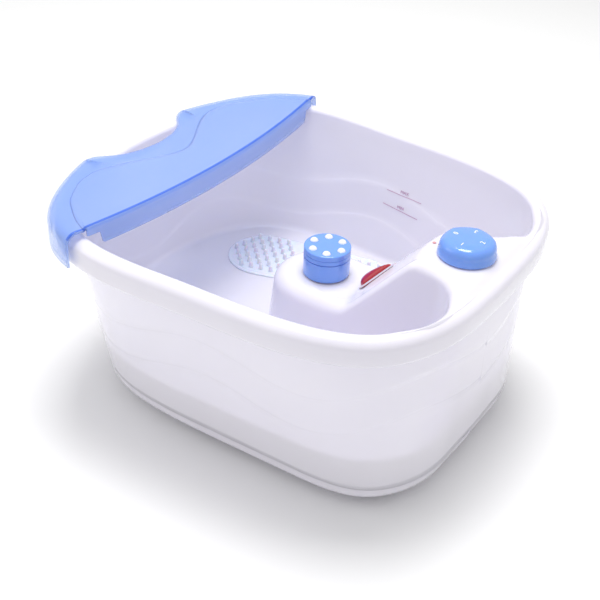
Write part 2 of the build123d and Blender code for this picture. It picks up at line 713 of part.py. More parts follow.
save(drum_cup, "drum_cup")


def ball_spots():
    """Centres of the balls, spaced evenly round the drum."""
    for angle in BALL_ANGLES:
        x = ROLLER_X + RING_OF_BALLS * cos(radians(angle))
        y = RING_OF_BALLS * sin(radians(angle))
        yield (x, y, BALL_Z)


with BuildPart() as drum_cap:
    with BuildSketch(Plane.XY.offset(GROOVE_Z)):
        with Locations((ROLLER_X, 0)):
            Circle(DRUM_RADIUS)
    extrude(amount=DRUM_TOP - GROOVE_Z)
    fillet(drum_cap.edges().sort_by(Axis.Z)[-1], radius=CAP_EDGE)
    with BuildSketch(Plane.XY.offset(TRIM_Z)):
        with Locations((ROLLER_X, 0)):
            Circle(DRUM_RADIUS)
            Circle(DRUM_RADIUS - TRIM_DEPTH, mode=Mode.SUBTRACT)
    extrude(amount=TRIM_HIGH, mode=Mode.SUBTRACT)
    with BuildSketch(Plane.XY.offset(GROOVE_Z)):
        with Locations((ROLLER_X, 0)):
            Circle(DRUM_RADIUS - DRUM_SKIN + 1)
    extrude(amount=CAP_ROOF_LOW - GROOVE_Z, mode=Mode.SUBTRACT)
    with Locations(*ball_spots()):
        Sphere(BALL_RADIUS + BALL_CLEAR, mode=Mode.SUBTRACT)
save(drum_cap, "drum_cap")

with BuildPart() as ball_retainer:
    with BuildSketch(Plane.XY.offset(PLATE_LOW)):
        with Locations((ROLLER_X, 0)):
            Circle(DRUM_RADIUS - DRUM_SKIN + 1)
    extrude(amount=CAP_ROOF_LOW - PLATE_LOW)
    with Locations(*ball_spots()):
        Sphere(BALL_RADIUS + BALL_CLEAR, mode=Mode.SUBTRACT)
save(ball_retainer, "ball_retainer")

for number, spot in enumerate(ball_spots(), start=1):
    with BuildPart() as ball:
        with Locations(spot):
            Sphere(BALL_RADIUS)
    save(ball, f"massage_ball_{number}")

# ---- heater, vibration motor and wiring -----------------------------------------------------
TRAY_FLOOR = TRAY_BOTTOM + TRAY_WALL
HEATER_X = -60.0
MOTOR_RADIUS = 14.0
MOTOR_AXIS_Z = TRAY_FLOOR + MOTOR_RADIUS + 3
MOTOR_LEFT = -20.0
MOTOR_RIGHT = 24.0
MOTOR_BORE = 1.5
SHAFT_END = -36.0
STRAP_WIDE = 12.0

with BuildPart() as heating_plate:
    with Locations((HEATER_X, 0, UNDERSIDE_Z)):
        Box(110, 70, 5, align=(Align.CENTER, Align.CENTER, Align.MAX))
    fillet(heating_plate.edges().filter_by(Axis.Z), radius=8)
save(heating_plate, "heating_plate")

with BuildPart() as thermostat:
    with Locations((HEATER_X, 0, UNDERSIDE_Z - 5)):
        Cylinder(8, 9, align=(Align.CENTER, Align.CENTER, Align.MAX))
    with Locations((HEATER_X - 8, 0, UNDERSIDE_Z - 12), (HEATER_X + 8, 0, UNDERSIDE_Z - 12)):
        Box(8, 5, 0.8)
save(thermostat, "thermostat")

with BuildPart() as motor_can:
    with BuildSketch(Plane.YZ.offset(MOTOR_LEFT)):
        with Locations((0, MOTOR_AXIS_Z)):
            Circle(MOTOR_RADIUS)
            Circle(MOTOR_BORE + SHAFT_CLEAR, mode=Mode.SUBTRACT)
    extrude(amount=MOTOR_RIGHT - MOTOR_LEFT)
save(motor_can, "motor_can")

with BuildPart() as motor_clamp:
    with BuildSketch(Plane.YZ.offset((MOTOR_LEFT + MOTOR_RIGHT - STRAP_WIDE) / 2)):
        with Locations((0, MOTOR_AXIS_Z)):
            Circle(MOTOR_RADIUS + 2)
        with Locations((0, MOTOR_AXIS_Z / 2 + TRAY_FLOOR / 2)):
            Rectangle(2 * MOTOR_RADIUS + 4, MOTOR_AXIS_Z - TRAY_FLOOR)
        with Locations((0, TRAY_FLOOR + 1)):
            Rectangle(2 * MOTOR_RADIUS + 28, 2)
        with Locations((0, MOTOR_AXIS_Z)):
            Circle(MOTOR_RADIUS, mode=Mode.SUBTRACT)
    extrude(amount=STRAP_WIDE)
    with Locations(*[((MOTOR_LEFT + MOTOR_RIGHT) / 2, y, TRAY_FLOOR + 2) for y in (-22, 22)]):
        Hole(radius=SCREW_RADIUS, depth=2)
save(motor_clamp, "motor_clamp")

with BuildPart() as motor_screws:
    with BuildSketch(Plane.XY.offset(TRAY_FLOOR)):
        with Locations(*[((MOTOR_LEFT + MOTOR_RIGHT) / 2, y) for y in (-22, 22)]):
            Circle(SCREW_RADIUS)
    extrude(amount=2)
    with BuildSketch(Plane.XY.offset(TRAY_FLOOR + 2)):
        with Locations(*[((MOTOR_LEFT + MOTOR_RIGHT) / 2, y) for y in (-22, 22)]):
            Circle(SCREW_HEAD_RADIUS)
    extrude(amount=2)
save(motor_screws, "motor_screws")

with BuildPart() as motor_shaft:
    with BuildSketch(Plane.YZ.offset(SHAFT_END)):
        with Locations((0, MOTOR_AXIS_Z)):
            Circle(MOTOR_BORE)
    extrude(amount=MOTOR_RIGHT - SHAFT_END)
save(motor_shaft, "motor_shaft")

with BuildPart() as eccentric_weight:
    with BuildSketch(Plane.YZ.offset(SHAFT_END)):
        with Locations((0, MOTOR_AXIS_Z)):
            Circle(11)
            with Locations((0, 8)):
                Rectangle(24, 10, mode=Mode.SUBTRACT)
            Circle(4)
            Circle(MOTOR_BORE, mode=Mode.SUBTRACT)
    extrude(amount=9)
save(eccentric_weight, "eccentric_weight")

TERMINAL = (84.0, 62.0)
with BuildPart() as terminal_block:
    with Locations((*TERMINAL, TRAY_FLOOR)):
        Box(18, 44, 14, align=(Align.CENTER, Align.CENTER, Align.MIN))
    with Locations(*[(TERMINAL[0], TERMINAL[1] + y, TRAY_FLOOR + 14) for y in (-16, -8, 0, 8, 16)]):
        Hole(radius=2, depth=5)
save(terminal_block, "terminal_block")

GLAND_BORE = 3.25
GLAND_FLANGE = 9.0
GLAND_PLANE = Plane.XZ.offset(-GLAND_FACE_Y)
with BuildPart() as cord_gland:
    with BuildSketch(GLAND_PLANE.offset(-4)):
        with Locations((GLAND_X, GLAND_Z)):
            Circle(GLAND_FLANGE)
    extrude(amount=4)
    with BuildSketch(GLAND_PLANE):
        with Locations((GLAND_X, GLAND_Z)):
            Circle(GLAND_NECK)
    extrude(amount=18)
    with BuildSketch(GLAND_PLANE.offset(-4)):
        with Locations((GLAND_X, GLAND_Z)):
            Circle(GLAND_BORE)
    extrude(amount=22, mode=Mode.SUBTRACT)
save(cord_gland, "cord_gland")

with BuildPart() as gland_nut:
    with BuildSketch(GLAND_PLANE.offset(GLAND_BOSS)):
        with Locations((GLAND_X, GLAND_Z)):
            RegularPolygon(10, 6)
            Circle(GLAND_NECK, mode=Mode.SUBTRACT)
    extrude(amount=5)
save(gland_nut, "gland_nut")

LEAD_RADIUS = 1.3
LEAD_BEND = 4.5
TERMINAL_TOP = TRAY_FLOOR + 14
LEAD_END_Z = TERMINAL_TOP - 4


def to_terminal(slot):
    """Last two points of a lead: above its terminal, then down into it."""
    y = TERMINAL[1] + slot
    return [(TERMINAL[0], y, TERMINAL_TOP + 12), (TERMINAL[0], y, LEAD_END_Z)]


TAB_Z = BODY_TOP - BODY_HIGH - TAB_HIGH
LEADS = {
    "switch_lead": [(DIAL_X - 3, 0, TAB_Z), (DIAL_X - 3, 0, TAB_Z - 12), (DIAL_X - 8, 6, 110),
                    (132, 22, 70), (104, 44, 48)] + to_terminal(-8),
    "heater_lead": [(HEATER_X + 12.6, 0, UNDERSIDE_Z - 12), (HEATER_X + 24, 0, UNDERSIDE_Z - 13),
                    (-20, 26, 40), (30, 58, 46), (66, 72, 44)] + to_terminal(8),
    "motor_lead": [(MOTOR_RIGHT, 8, MOTOR_AXIS_Z), (MOTOR_RIGHT + 12, 8, MOTOR_AXIS_Z),
                   (52, 22, 36), (72, 40, 42)] + to_terminal(-16),
}
for lead_name, route in LEADS.items():
    with BuildPart() as lead:
        with BuildLine() as path:
            FilletPolyline(*route, radius=LEAD_BEND)
        with BuildSketch(Plane(origin=path.line @ 0, z_dir=path.line % 0)):
            Circle(LEAD_RADIUS)
        sweep()
    save(lead, lead_name)
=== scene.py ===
import bpy
import numpy as np
from mathutils import Matrix


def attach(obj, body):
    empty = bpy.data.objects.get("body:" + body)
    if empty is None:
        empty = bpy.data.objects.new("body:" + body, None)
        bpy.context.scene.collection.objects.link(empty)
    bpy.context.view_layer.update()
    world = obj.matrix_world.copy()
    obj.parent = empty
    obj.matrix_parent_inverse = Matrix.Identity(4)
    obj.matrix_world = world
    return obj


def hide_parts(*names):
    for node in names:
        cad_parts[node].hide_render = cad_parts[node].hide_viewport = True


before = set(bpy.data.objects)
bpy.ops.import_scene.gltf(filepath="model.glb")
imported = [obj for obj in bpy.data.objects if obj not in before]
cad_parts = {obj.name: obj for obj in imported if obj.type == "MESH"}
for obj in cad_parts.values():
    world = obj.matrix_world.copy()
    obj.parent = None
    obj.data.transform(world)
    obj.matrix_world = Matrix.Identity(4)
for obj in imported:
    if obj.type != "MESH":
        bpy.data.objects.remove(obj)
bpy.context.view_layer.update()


# ---- camera -----------------------------------------------------------------------------
# Stands above the near right corner and looks down into the basin along its length.
# Slightly rolled, as a hand-held product picture is.
def aim_camera(target, azimuth, elevation, roll, distance, lens):
    """Camera on a sphere round the target: back vector from azimuth and elevation, then the picture
    turned by roll about the line of sight."""
    az, el, turn = np.radians([azimuth, elevation, roll])
    back = np.array([np.sin(az) * np.cos(el), -np.cos(az) * np.cos(el), np.sin(el)])
    flat = np.array([np.cos(az), np.sin(az), 0.0])
    rise = np.cross(back, flat)
    right = np.cos(turn) * flat + np.sin(turn) * rise
    up = -np.sin(turn) * flat + np.cos(turn) * rise
    place = np.array(target) + distance * back
    matrix = np.eye(4)
    matrix[:3, :4] = np.column_stack([right, up, back, place])
    data = bpy.data.cameras.new("camera")
    data.sensor_width = 36
    data.lens = lens
    camera = bpy.data.objects.new("camera", data)
    bpy.context.scene.collection.objects.link(camera)
    camera.matrix_world = Matrix(matrix.tolist())
    bpy.context.scene.camera = camera


aim_camera((0.01447, -0.0196, 0.1), 32.63, 34.33, 2.886, 0.98287, 65.45)


# ---- tub --------------------------------------------------------------------------------
# One injection moulding in milky polypropylene: rolled rim, wall with two embossed waves, flat
# floor, and the console that rises from between the feet to the deck under the dial.
MM = 0.001
RIM = [(200, 0), (199.4, 36), (196.5, 72), (166, 139), (98, 170), (0, 178),
       (-66, 181), (-136, 163), (-180, 104), (-200, 0)]
BASE = [(188, 0), (187.5, 34), (185.5, 69), (153, 122.5), (85, 137), (0, 140),
        (-65, 139), (-124, 121), (-157, 74), (-167, 0)]
KNOTS = 18
WALL = 3.0
RIM_TOP = 190.0
PARTING = 25.0
FLOOR = 60.0
UNDERSIDE = 57.0
TONGUE = 126.0
DECK = 194.5
LIP_LOW = 168.0
COLUMNS = 440


def mirrored(half):
    """Closed loop of points from its half on the far side."""
    return np.array(list(half) + [(x, -y) for x, y in reversed(half[1:-1])], float)


def moved_in(loop, gap):
    """Each point moved inwards by gap, square to the line between its neighbours."""
    along = np.roll(loop, -1, 0) - np.roll(loop, 1, 0)
    along /= np.linalg.norm(along, axis=1)[:, None]
    return loop + gap * np.stack([-along[:, 1], along[:, 0]], 1)


def closed_curve(points, where):
    """Smooth closed curve through the points: a cubic in each span, its bends at the points found
    from one set of linear equations.  where 2.5 is half way from point 2 to point 3."""
    p = np.asarray(points, float)
    count = len(p)
    span = np.linalg.norm(np.roll(p, -1, 0) - p, axis=1)
    before = np.roll(span, 1)
    here = np.arange(count)
    system = np.zeros((count, count))
    system[here, here] = 2 * (span + before)
    system[here, (here + 1) % count] += span
    system[here, (here - 1) % count] += before
    rise = (np.roll(p, -1, 0) - p) / span[:, None]
    bend = np.linalg.solve(system, 6 * (rise - np.roll(rise, 1, 0)))
    k = np.floor(where).astype(int) % count
    n = (k + 1) % count
    h = span[k][:, None]
    t = (where % 1.0)[:, None] * h
    rest = h - t
    cubic = (bend[k] * rest ** 3 + bend[n] * t ** 3) / (6 * h)
    return cubic + (p[k] / h - bend[k] * h / 6) * rest + (p[n] / h - bend[n] * h / 6) * t


def blend_to(a, b, share):
    """Straight mix from a to b."""
    return a + (b - a) * share


def smooth_step(low, high, x):
    """0 below low, 1 above high, a soft S between."""
    t = np.clip((x - low) / (high - low), 0, 1)
    return t * t * (3 - 2 * t)


def outward(line):
    """Unit vectors square to a closed line that runs anticlockwise, pointing out of it."""
    along = np.roll(line, -1, 0) - np.roll(line, 1, 0)
    along /= np.linalg.norm(along, axis=1)[:, None]
    return np.stack([along[:, 1], -along[:, 0]], 1)


def outer_line(where, z):
    """Outside of the wall: straight lines from the base outline up to the outline under the rim."""
    low = closed_curve(mirrored(BASE), where)
    high = closed_curve(moved_in(mirrored(RIM), 12), where)
    return blend_to(low, high, ((z - PARTING) / (RIM_TOP - PARTING))[:, None])


def inner_line(where, z):
    """Inside of the wall, one wall thickness in."""
    low = closed_curve(moved_in(mirrored(BASE), WALL), where)
    high = closed_curve(moved_in(mirrored(RIM), 12 + WALL), where)
    return blend_to(low, high, ((z - PARTING) / (RIM_TOP - PARTING))[:, None])


# the bathing space's edge, from the tongue's nose along the console into the pocket by the dial
console_floor = [(-24, 0), (-17.8, 23), (-1, 39.8), (22, 46), (60, 46.4), (100, 47), (136, 48.3),
                 (154, 53), (165, 61.5), (172, 75)]
console_top = [(-13, 0), (-8.3, 17.5), (4.5, 30.3), (22, 35), (60, 35.6), (100, 36.3), (138, 37.8),
               (160, 42.5), (172, 53), (178.5, 67)]
console_share = [0, .08, .2, .33, .5, .68, .85, 1.0, 1.35, 1.8]
wall_share = np.array([2.35, 2.68] + list(range(3, 10)), float)
edge_floor = console_floor + [tuple(p) for p in inner_line(wall_share, np.full(9, FLOOR))]
edge_top = console_top + [tuple(p) for p in inner_line(wall_share, np.full(9, RIM_TOP))]
edge_share = np.array(console_share + list(wall_share))
edge_share = np.concatenate([edge_share, KNOTS - edge_share[-2::-1]])
edge_floor, edge_top = mirrored(edge_floor), mirrored(edge_top)

fine = np.linspace(0, len(edge_top), 4000)
fine_line = closed_curve(edge_top, fine)
travel = np.concatenate([[0], np.cumsum(np.linalg.norm(np.diff(fine_line, axis=0), axis=1))])
column = np.interp(np.arange(COLUMNS) * travel[-1] / COLUMNS, travel, fine)
rim_where = np.interp(column, np.arange(len(edge_share)), edge_share)
on_wall = smooth_step(10.2, 11.5, column) * (1 - smooth_step(24.5, 25.8, column))


def wave_height(where, lift):
    """Height of an embossed wave: a cosine of the way round the rim, tilted along the basin."""
    loop = closed_curve(mirrored(RIM), np.linspace(0, KNOTS, 2001))
    way = np.concatenate([[0], np.cumsum(np.linalg.norm(np.diff(loop, axis=0), axis=1))])
    near_crest = np.interp(13.06, np.linspace(0, KNOTS, 2001), way)
    here = np.interp(where, np.linspace(0, KNOTS, 2001), way)
    x = closed_curve(mirrored(RIM), where)[:, 0]
    tilt = 0.049 * (x - 15) * smooth_step(9, 13, where) + 5 * smooth_step(12, 5, where)
    return 121.5 + lift + tilt + 10.3 * np.cos(2 * np.pi * 6 * (here - near_crest) / way[-1])


def wall_rows(top, high_wave, low_wave, bottom, steps):
    """Heights and outward swell of the wall's rows: each panel swells to 0.6 mm and steps back at
    its wave, as overlapping boards do."""
    step = 1.4
    rows = []
    for start, end in ((top, high_wave), (high_wave, low_wave)):
        for t in np.linspace(0, 1, steps):
            rows.append((blend_to(start - step * (start is not top), end + step, t), 0.6 * t * t))
        rows.append((end, 0.3))
    for t in np.linspace(0, 1, steps):
        rows.append((blend_to(low_wave - step, bottom, t), 0.0))
    return rows


def top_height(x, y):
    """Deck, ramp and tongue: the ramp's plane held between the two levels, with soft edges, and
    bowed so that its middle stands forward."""
    ramp = TONGUE + (x - 66.5 - 0.004 * y * y) * np.tan(np.radians(49))
    level = RIM_TOP + (DECK - RIM_TOP) * smooth_step(74, 46, np.abs(y)) * smooth_step(192, 180, x)
    lowered = ramp - np.log1p(np.exp((ramp - level) / 2.2)) * 2.2
    raised = TONGUE + np.log1p(np.exp((lowered - TONGUE) / 2.6)) * 2.6
    dish = 0.5 * smooth_step(31, 28, np.hypot(x - 50, y)) * smooth_step(160, 127, raised)
    return raised - dish


def ring(line, z):
    """One row of the tub's mesh."""
    return np.column_stack([line, np.broadcast_to(z, len(line))])


def carried(gap_and_z, where):
    """A profile of (gap, height) carried round the rim's outline."""
    return [ring(closed_curve(moved_in(mirrored(RIM), gap), where), z) for gap, z in gap_and_z]


ROLL = 9.0
outside = []
turn = np.radians(np.linspace(90, 0, 12))
outside += carried([(ROLL - ROLL * np.cos(a), RIM_TOP - ROLL + ROLL * np.sin(a)) for a in turn], rim_where)
outside += carried([(0, 176), (0, 170), (0.2, 168.8), (0.8, 168.1), (1.5, LIP_LOW), (2.3, 168.2),
                    (2.9, 169), (3, 175), (3.2, 180), (4.6, 182.4), (7, 183), (9.5, 182.6)], rim_where)
push = outward(outer_line(rim_where, np.full(COLUMNS, 100.0)))
full = np.ones(COLUMNS)
waves = wave_height(rim_where, 0), wave_height(rim_where, -37)
for z, swell in wall_rows(181.5 * full, *waves, PARTING * full, 11):
    outside.append(ring(outer_line(rim_where, z) + swell * push, z))
for z in (PARTING, 40.0, UNDERSIDE):
    outside.append(ring(inner_line(rim_where, z * full), z))

top_line, floor_line = closed_curve(edge_top, column), closed_curve(edge_floor, column)
into_wall = outward(top_line)


def edge_line(z):
    """Edge of the bathing space at height z."""
    return blend_to(floor_line, top_line, ((z - FLOOR) / (RIM_TOP - FLOOR))[:, None])


crown = 5.0 + (3.5 + 5.5 * smooth_step(80, 45, top_line[:, 0])) * (1 - on_wall)
height = top_height(*top_line.T)
for _ in range(3):
    shoulder = edge_line(height - crown) + into_wall * crown[:, None]
    height = np.where(on_wall > 0.5, RIM_TOP, top_height(*shoulder.T))
# the swell between rim and bathing space, then the wall, the floor's fillet and the floor
across = []
rim_line = outside[0][:, :2]
for t in np.linspace(0, 1, 58)[1:-1]:
    spot = blend_to(rim_line, shoulder, t)
    level = top_height(*spot.T)
    across.append(ring(spot, blend_to(level, RIM_TOP, on_wall)))
for a in np.radians(np.linspace(90, 0, 9)):
    z = height - crown + crown * np.sin(a)
    line = edge_line(height - crown) + into_wall * (crown * (1 - np.cos(a)))[:, None]
    across.append(ring(line, z))
low_end = FLOOR + 6
high_wave = np.minimum(waves[0], height - crown - 8)
low_wave = np.maximum(np.minimum(waves[1], high_wave - 10), low_end + 4)
for z, swell in wall_rows(height - crown - 0.5, high_wave, low_wave, low_end * full, 9):
    across.append(ring(edge_line(z) + (swell * on_wall)[:, None] * into_wall, z))
for a in np.radians(np.linspace(15, 90, 6)):
    line = edge_line(low_end * full) - into_wall * (6 * (1 - np.cos(a)))
    across.append(ring(line, low_end - 6 * np.sin(a)))
across.append(ring(edge_line(low_end * full) - into_wall * 7.5, FLOOR))

rows = np.array(across[::-1] + outside)


def grid_faces(count_rows, count_columns, closed, start=0):
    """Four-cornered faces between neighbouring rows and columns of a grid."""
    last = count_columns if closed else count_columns - 1
    r, c = np.meshgrid(np.arange(count_rows - 1), np.arange(last), indexing="ij")
    n = (c + 1) % count_columns
    a, b = r * count_columns, (r + 1) * count_columns
    return (np.stack([a + c, a + n, b + n, b + c], -1) + start).reshape(-1, 4)


def new_piece(name, points, faces, smooth=True):
    """Mesh object at the origin from points in millimetres and lists of corners."""
    mesh = bpy.data.meshes.new(name)
    mesh.from_pydata((np.asarray(points, float) * MM).tolist(), [], [list(map(int, f)) for f in faces])
    mesh.polygons.foreach_set("use_smooth", np.full(len(mesh.polygons), smooth))
    mesh.update()
    piece = bpy.data.objects.new(name, mesh)
    bpy.context.scene.collection.objects.link(piece)
    return piece


faces = [f[::-1] for f in grid_faces(len(rows), COLUMNS, True).tolist()]
faces.append(list(range(COLUMNS)))
faces.append(list(range(len(rows) * COLUMNS - 1, (len(rows) - 1) * COLUMNS - 1, -1)))
tub = new_piece("tub_body", rows.reshape(-1, 3), faces)


def node_maker(material):
    """Short way to add a node with its settings and links."""
    tree = material.node_tree

    def add(kind, links=None, **settings):
        node = tree.nodes.new(kind)
        for key, value in settings.items():
            setattr(node, key, value)
        for socket, source in (links or {}).items():
            if isinstance(source, bpy.types.NodeSocket):
                tree.links.new(source, node.inputs[socket])
            else:
                node.inputs[socket].default_value = source
        return node

    return add


def moulded_plastic(name, light, dark, rough, scale=60.0, grain=0.012, **sockets):
    """Glossy moulded plastic: two close shades drift over the piece in soft noise, and a fine
    grain breaks the gloss."""
    material = bpy.data.materials.new(name)
    material.use_nodes = True
    add = node_maker(material)
    shader = material.node_tree.nodes["Principled BSDF"]
    for key, value in sockets.items():
        shader.inputs[key.replace("_", " ")].default_value = value
    place = add("ShaderNodeTexCoord").outputs["Object"]
    drift = add("ShaderNodeTexNoise", {"Vector": place, "Scale": scale * 0.2, "Detail": 3.0})
    tint = add("ShaderNodeMix", {"Factor": drift.outputs["Fac"], "A": (*light, 1), "B": (*dark, 1)},
               data_type="RGBA")
    link = material.node_tree.links.new
    link(tint.outputs["Result"], shader.inputs["Base Color"])
    speck = add("ShaderNodeTexNoise", {"Vector": place, "Scale": scale * 12, "Detail": 2.0})
    gloss = add("ShaderNodeMapRange", {"Value": speck.outputs["Fac"], "From Min": 0.3, "From Max": 0.7,
                                       "To Min": rough * 0.85, "To Max": rough * 1.2})
    link(gloss.outputs["Result"], shader.inputs["Roughness"])
    bump = add("ShaderNodeBump", {"Height": speck.outputs["Fac"], "Strength": grain, "Distance": 0.0004})
    link(bump.outputs["Normal"], shader.inputs["Normal"])
    return material


milk = moulded_plastic("milky_polypropylene", (0.835, 0.81, 0.90), (0.805, 0.78, 0.88), 0.2,
                       Subsurface_Weight=0.35, Subsurface_Scale=0.012, Coat_Weight=0.35,
                       Coat_Roughness=0.08, IOR=1.49)
milk.node_tree.nodes["Principled BSDF"].inputs["Subsurface Radius"].default_value = (0.9, 0.9, 1.0)
tub.data.materials.append(milk)
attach(tub, "basin")
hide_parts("tub")


# ---- base tray, rubber feet and cord gland ---------------------------------------------------
# The tray closes the dry space from below and is moulded in the tub's own plastic; six screws hold
# it.  Four black rubber feet plug into it, and a rubber gland waits for the cord in the far wall.
def finish_nodes(material, *names):
    """Gives a material to nodes of the frame whose shape is kept."""
    for name in names:
        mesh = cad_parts[name].data
        mesh.materials.clear()
        mesh.materials.append(material)


rubber = moulded_plastic("black_rubber", (0.018, 0.018, 0.02), (0.03, 0.03, 0.033), 0.62, 90, 0.1)
finish_nodes(milk, "base_tray")
finish_nodes(rubber, "foot_near_right", "foot_far_right", "foot_near_left", "foot_far_left", "cord_gland")
GLAND = (0, 40)
BOSS_FACE = 146.9
BOSS_DEEP = 8


def turned(profile, segments=64):
    """A profile of (radius, height) turned about the upright axis: each row is the circle of that
    radius at that height."""
    angle = np.linspace(0, 2 * np.pi, segments, endpoint=False)
    circle = np.stack([np.cos(angle), np.sin(angle), np.zeros(segments)], 1)
    radius, level = np.array(profile, float).T
    return circle[None] * radius[:, None, None] + [0, 0, 1] * level[:, None, None]


def closed_rows(rows):
    """Faces of a stack of rings, with a many-cornered face over the first and the last."""
    count, around = rows.shape[:2]
    faces = grid_faces(count, around, True).tolist()
    return faces + [list(range(around))[::-1], list(range((count - 1) * around, count * around))]


boss = turned([(11.5, 0), (11.5, 6.8), (11.2, 7.6), (10.4, 8), (7, 8), (6.2, 8), (6.1, 7), (6.1, 0)])
boss = boss.reshape(-1, 3)
boss = np.column_stack([boss[:, 0] + GLAND[0], BOSS_FACE - BOSS_DEEP + boss[:, 2], GLAND[1] - boss[:, 1]])
around = 64
ring_faces = grid_faces(8, around, True).tolist()
ring_faces += [[7 * around + a, 7 * around + (a + 1) % around, (a + 1) % around, a] for a in range(around)]
gland_boss = new_piece("gland_boss", boss, [f[::-1] for f in ring_faces])
gland_boss.data.materials.append(milk)
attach(gland_boss, "basin")


# ---- massage footbeds ---------------------------------------------------------------------
# Thin milky inserts on the floor, one for each foot, with a raised line round the edge and round
# pins that press the sole: close together under heel and ball, fewer under the arch.
HEEL, TOE = np.array([-91.0, 75.0]), np.array([8.0, 102.0])
HEEL_ROUND, TOE_ROUND = 38.0, 33.0
PIN_PITCH = 10.5


def footbed_edge(gap, count=160):
    """Outline round two circles: in each direction the circle that reaches farther gives the point."""
    angle = np.linspace(0, 2 * np.pi, count, endpoint=False)
    way = np.stack([np.cos(angle), np.sin(angle)], 1)
    heel_wins = way @ HEEL + HEEL_ROUND > way @ TOE + TOE_ROUND
    centre = np.where(heel_wins[:, None], HEEL, TOE)
    return centre + way * np.where(heel_wins, HEEL_ROUND - gap, TOE_ROUND - gap)[:, None]


def pin_spots():
    """Staggered rows along the line from heel to toe."""
    along_bed = (TOE - HEEL) / np.linalg.norm(TOE - HEEL)
    across_bed = np.array([-along_bed[1], along_bed[0]])
    length = np.linalg.norm(TOE - HEEL)
    row, step = np.meshgrid(np.arange(-4, 5), np.arange(-4, 14), indexing="ij")
    along, across = PIN_PITCH * (step + 0.5 * (row % 2)), PIN_PITCH * 0.87 * row
    heel = np.hypot(along, across) < HEEL_ROUND - 6
    toe = np.hypot(along - length, across) < TOE_ROUND - 6
    arch = (along > HEEL_ROUND) & (along < length - TOE_ROUND) & (abs(across) < 24) & (step % 2 == 1)
    pick = heel | toe | arch
    return HEEL + along[pick][:, None] * along_bed + across[pick][:, None] * across_bed


def footbed(name, side):
    """Pad profile carried round its outline, and one turned pin copied to every spot."""
    profile = [(0, 60), (0, 60.9), (0.5, 61.4), (1.2, 61.5),
               (1.8, 61.9), (2.6, 61.9), (3.2, 61.45), (5, 61.4)]
    pad = np.array([ring(footbed_edge(gap), z) for gap, z in profile])
    points, faces = [pad.reshape(-1, 3)], closed_rows(pad)
    pin = turned([(2.5, 61.2), (2.1, 61.9), (1.85, 63.4), (1.75, 65.9), (1.45, 66.9), (0.8, 67.4)], 12)
    start = len(points[0])
    pin_faces = np.array([f for f in closed_rows(pin) if len(f) == 4])
    for x, y in pin_spots():
        points.append(pin.reshape(-1, 3) + [x, y, 0])
        faces += (pin_faces + start).tolist()
        faces += [list(range(start, start + 12))[::-1], list(range(start + 60, start + 72))]
        start += pin.size // 3
    points = np.concatenate(points) * [1, side, 1]
    piece = new_piece(name, points, faces if side > 0 else [f[::-1] for f in faces])
    piece.data.materials.append(pin_milk)
    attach(piece, "basin")
    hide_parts(name.replace("_insert", ""))


pin_milk = moulded_plastic("footbed_plastic", (0.84, 0.84, 0.92), (0.80, 0.80, 0.90), 0.2,
                           Subsurface_Weight=0.3, Subsurface_Scale=0.006, Coat_Weight=0.3)
footbed("far_footbed_insert", 1)
footbed("near_footbed_insert", -1)


# ---- infrared lens ------------------------------------------------------------------------
# Glossy red teardrop bubble on the ramp, round end down, over the small warming lamp.  It snaps
# into a pale clear gasket.
RAMP_FOOT = np.array([66.0, 0, 126.0])
RAMP_ALONG = np.array([np.cos(np.radians(49)), 0, np.sin(np.radians(49))])
RAMP_OUT = np.array([-np.sin(np.radians(49)), 0, np.cos(np.radians(49))])


def teardrop_dome(count, steps, gap, high):
    """Rows run from the teardrop's edge to its middle line; the height over the ramp is a quarter
    ellipse of the way in, lower towards the tip."""
    angle = np.linspace(0, 2 * np.pi, count, endpoint=False)
    radius, tip = 12 - gap, 32 - 2 * gap
    along = np.where(np.cos(angle) > 0, tip * (1 - np.abs(np.sin(angle)) ** 1.15), radius * np.cos(angle))
    across = radius * np.sin(angle) * np.where(np.cos(angle) > 0, np.abs(np.sin(angle)) ** 0.15, 1)
    edge = np.stack([13 + along, across], 1)
    middle = np.stack([13 + np.clip(along * 0.8, -1, None), 0 * across], 1)
    share = np.linspace(0, 1, steps)[:, None, None]
    spot = edge[None] + (middle - edge)[None] * share
    towards_tip = np.clip(along / tip, 0, 1)
    rise = high * np.sqrt(1 - (1 - share[:, :, 0]) ** 2) * (1 - 0.45 * towards_tip ** 2)[None]
    return (RAMP_FOOT + spot[..., :1] * RAMP_ALONG + spot[..., 1:] * [0, 1, 0] + rise[..., None] * RAMP_OUT)


def weld(piece, distance=0.00002):
    """Merges corners that lie on each other."""
    import bmesh
    shape = bmesh.new()
    shape.from_mesh(piece.data)
    bmesh.ops.remove_doubles(shape, verts=shape.verts, dist=distance)
    bmesh.ops.dissolve_degenerate(shape, edges=shape.edges, dist=distance)
    shape.to_mesh(piece.data)
    shape.free()


dome = teardrop_dome(96, 14, 1.4, 7.2)
foot_row = dome[:1] - 1.5 * RAMP_OUT
lens_rows = np.concatenate([foot_row, dome])
lens_faces = grid_faces(len(lens_rows), 96, True).tolist() + [list(range(96))[::-1]]
lens = new_piece("infrared_lens_bubble", lens_rows.reshape(-1, 3), lens_faces)
weld(lens)
red = moulded_plastic("red_lens", (0.50, 0.004, 0.022), (0.36, 0.002, 0.014), 0.07, 40, 0.004,
                      Coat_Weight=0.8, Coat_Roughness=0.03, Subsurface_Weight=0.15, Subsurface_Scale=0.004)
lens.data.materials.append(red)
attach(lens, "basin")
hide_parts("infrared_lens")
clear_rubber = moulded_plastic("clear_gasket", (0.86, 0.80, 0.88), (0.80, 0.74, 0.84), 0.12,
                               Coat_Weight=0.5, Subsurface_Weight=0.2, Subsurface_Scale=0.003)
finish_nodes(clear_rubber, "lens_gasket")


